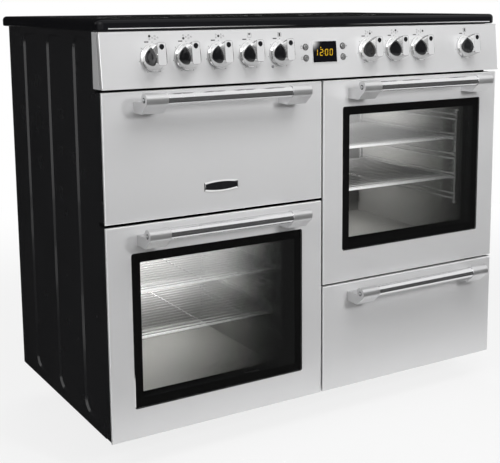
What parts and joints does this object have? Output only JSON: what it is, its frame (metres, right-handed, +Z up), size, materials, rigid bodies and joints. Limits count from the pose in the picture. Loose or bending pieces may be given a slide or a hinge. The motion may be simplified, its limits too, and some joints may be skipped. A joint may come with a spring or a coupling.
{
  "type": "electric range cooker",
  "caption": "Free-standing electric range cooker with a ceramic hob, a grill, two ovens with glazed drop-down doors, a storage drawer, turning knobs and a clock.",
  "frame": {"origin": "on the floor, halfway across the cooker and halfway between the front of the handles and the rear edge of the hob", "axes": "+X to the cook's right, -Y towards the cook (the doors' side), +Z up"},
  "size_m": [1, 0.661, 0.9],
  "materials": {
    "silver_enamel": "satin silver paint",
    "black_enamel": "gloss black enamel",
    "galvanised_steel": "dull zinc coated sheet",
    "oven_enamel": "speckled grey enamel",
    "rack_chrome": "bright wire",
    "satin_metal": "satin brackets, bright tube",
    "pan_enamel": "black enamel",
    "element_steel": "heat-darkened steel",
    "zone_ceramic": "matt fibre dish",
    "hob_ceramic_glass": "gloss black ceramic glass",
    "window_glass": "clear pane with a black border",
    "display_glass": "gloss black",
    "lamp_glass": "frosted",
    "neon_smoke": "smoked lens",
    "lagging_wool": "mineral wool blanket",
    "seal_rubber": "matt",
    "black_plastic": "matt",
    "badge_black": "gloss, bare",
    "knob_chrome": "bright, with dark inlays",
    "button_chrome": "bright"
  },
  "bodies": {
    "carcass": {"side_panel_left": "black_enamel", "side_panel_right": "black_enamel", "rear_panel": "galvanised_steel", "base_pan": "galvanised_steel", "adjustable_feet": "seal_rubber", "front_frame": "black_enamel", "inner_partitions": "galvanised_steel", "grill_cavity": "oven_enamel", "main_oven_cavity": "oven_enamel", "tall_oven_cavity": "oven_enamel", "cavity_lagging": "lagging_wool", "cavity_seals": "seal_rubber", "hob_frame": "black_enamel", "hob_glass": "hob_ceramic_glass", "hob_tray": "galvanised_steel", "radiant_elements": "zone_ceramic", "control_fascia": "silver_enamel", "clock_lens": "display_glass", "neon_lens": "neon_smoke", "control_switches": "galvanised_steel", "blower_housing": "galvanised_steel", "fan_cover": "oven_enamel", "oven_fan_motor": "galvanised_steel", "heating_elements": "element_steel", "oven_racks": "rack_chrome", "grill_pan": "pan_enamel", "oven_lamps": "lamp_glass", "door_hinge_pins": "galvanised_steel", "drawer_rails": "galvanised_steel", "terminal_cover": "black_plastic"},
    "grill_door": {"grill_door_panel": "silver_enamel", "grill_door_liner": "black_enamel", "grill_door_handle": "satin_metal", "badge_plate": "badge_black"},
    "main_oven_door": {"main_door_panel": "silver_enamel", "main_door_liner": "black_enamel", "main_door_panes": "window_glass", "main_door_handle": "satin_metal"},
    "tall_oven_door": {"tall_door_panel": "silver_enamel", "tall_door_liner": "black_enamel", "tall_door_panes": "window_glass", "tall_door_handle": "satin_metal"},
    "storage_drawer": {"drawer_front": "silver_enamel", "drawer_box": "galvanised_steel", "drawer_handle": "satin_metal"},
    "knob_rear_left": {"knob_rear_left": "knob_chrome"},
    "knob_front_left": {"knob_front_left": "knob_chrome"},
    "knob_centre": {"knob_centre": "knob_chrome"},
    "knob_grill": {"knob_grill": "knob_chrome"},
    "knob_main_oven": {"knob_main_oven": "knob_chrome"},
    "knob_front_right": {"knob_front_right": "knob_chrome"},
    "knob_rear_right": {"knob_rear_right": "knob_chrome"},
    "knob_warming": {"knob_warming": "knob_chrome"},
    "knob_tall_oven": {"knob_tall_oven": "knob_chrome"},
    "button_left_lower": {"button_left_lower": "button_chrome"},
    "button_left_upper": {"button_left_upper": "button_chrome"},
    "button_right_lower": {"button_right_lower": "button_chrome"},
    "button_right_upper": {"button_right_upper": "button_chrome"},
    "oven_fan": {"oven_fan_wheel": "element_steel"},
    "cooling_fan": {"blower_wheel": "galvanised_steel"}
  },
  "joints": [
    {"name": "grill_door_hinge", "type": "hinge", "parent": "carcass", "child": "grill_door", "pos_m": [-0.25175, -0.2585, 0.5205], "axis": [1, 0, 0], "range_deg": [0, 90]},
    {"name": "main_oven_door_hinge", "type": "hinge", "parent": "carcass", "child": "main_oven_door", "pos_m": [-0.25175, -0.2585, 0.08], "axis": [1, 0, 0], "range_deg": [0, 90]},
    {"name": "tall_oven_door_hinge", "type": "hinge", "parent": "carcass", "child": "tall_oven_door", "pos_m": [0.25075, -0.2585, 0.3255], "axis": [1, 0, 0], "range_deg": [0, 90]},
    {"name": "storage_drawer_slide", "type": "slide", "parent": "carcass", "child": "storage_drawer", "axis": [0, -1, 0], "range_m": [0, 0.28]},
    {"name": "knob_rear_left_turn", "type": "hinge", "parent": "carcass", "child": "knob_rear_left", "pos_m": [-0.393, -0.27013, 0.82668], "axis": [0, -0.9943, 0.1064], "range_deg": [-300, 0]},
    {"name": "knob_front_left_turn", "type": "hinge", "parent": "carcass", "child": "knob_front_left", "pos_m": [-0.3214, -0.27013, 0.82668], "axis": [0, -0.9943, 0.1064], "range_deg": [-300, 0]},
    {"name": "knob_centre_turn", "type": "hinge", "parent": "carcass", "child": "knob_centre", "pos_m": [-0.2498, -0.27013, 0.82668], "axis": [0, -0.9943, 0.1064], "range_deg": [-300, 0]},
    {"name": "knob_grill_turn", "type": "hinge", "parent": "carcass", "child": "knob_grill", "pos_m": [-0.1782, -0.27013, 0.82668], "axis": [0, -0.9943, 0.1064], "range_deg": [-300, 0]},
    {"name": "knob_main_oven_turn", "type": "hinge", "parent": "carcass", "child": "knob_main_oven", "pos_m": [-0.1066, -0.27013, 0.82668], "axis": [0, -0.9943, 0.1064], "range_deg": [-270, 0]},
    {"name": "knob_front_right_turn", "type": "hinge", "parent": "carcass", "child": "knob_front_right", "pos_m": [0.119, -0.27013, 0.82668], "axis": [0, -0.9943, 0.1064], "range_deg": [-300, 0]},
    {"name": "knob_rear_right_turn", "type": "hinge", "parent": "carcass", "child": "knob_rear_right", "pos_m": [0.1906, -0.27013, 0.82668], "axis": [0, -0.9943, 0.1064], "range_deg": [-300, 0]},
    {"name": "knob_warming_turn", "type": "hinge", "parent": "carcass", "child": "knob_warming", "pos_m": [0.2622, -0.27013, 0.82668], "axis": [0, -0.9943, 0.1064], "range_deg": [-300, 0]},
    {"name": "knob_tall_oven_turn", "type": "hinge", "parent": "carcass", "child": "knob_tall_oven", "pos_m": [0.4, -0.27013, 0.82668], "axis": [0, -0.9943, 0.1064], "range_deg": [-270, 0]},
    {"name": "button_left_lower_press", "type": "slide", "parent": "carcass", "child": "button_left_lower", "axis": [0, 0.9943, -0.1064], "range_m": [0, 0.0015], "stiffness_N_per_m": 300},
    {"name": "button_left_upper_press", "type": "slide", "parent": "carcass", "child": "button_left_upper", "axis": [0, 0.9943, -0.1064], "range_m": [0, 0.0015], "stiffness_N_per_m": 300},
    {"name": "button_right_lower_press", "type": "slide", "parent": "carcass", "child": "button_right_lower", "axis": [0, 0.9943, -0.1064], "range_m": [0, 0.0015], "stiffness_N_per_m": 300},
    {"name": "button_right_upper_press", "type": "slide", "parent": "carcass", "child": "button_right_upper", "axis": [0, 0.9943, -0.1064], "range_m": [0, 0.0015], "stiffness_N_per_m": 300},
    {"name": "oven_fan_spin", "type": "hinge", "parent": "carcass", "child": "oven_fan", "pos_m": [0.2495, 0.19, 0.545], "axis": [0, 1, 0], "continuous": true},
    {"name": "cooling_fan_spin", "type": "hinge", "parent": "carcass", "child": "cooling_fan", "pos_m": [0, -0.108, 0.8005], "axis": [1, 0, 0], "continuous": true}
  ]
}
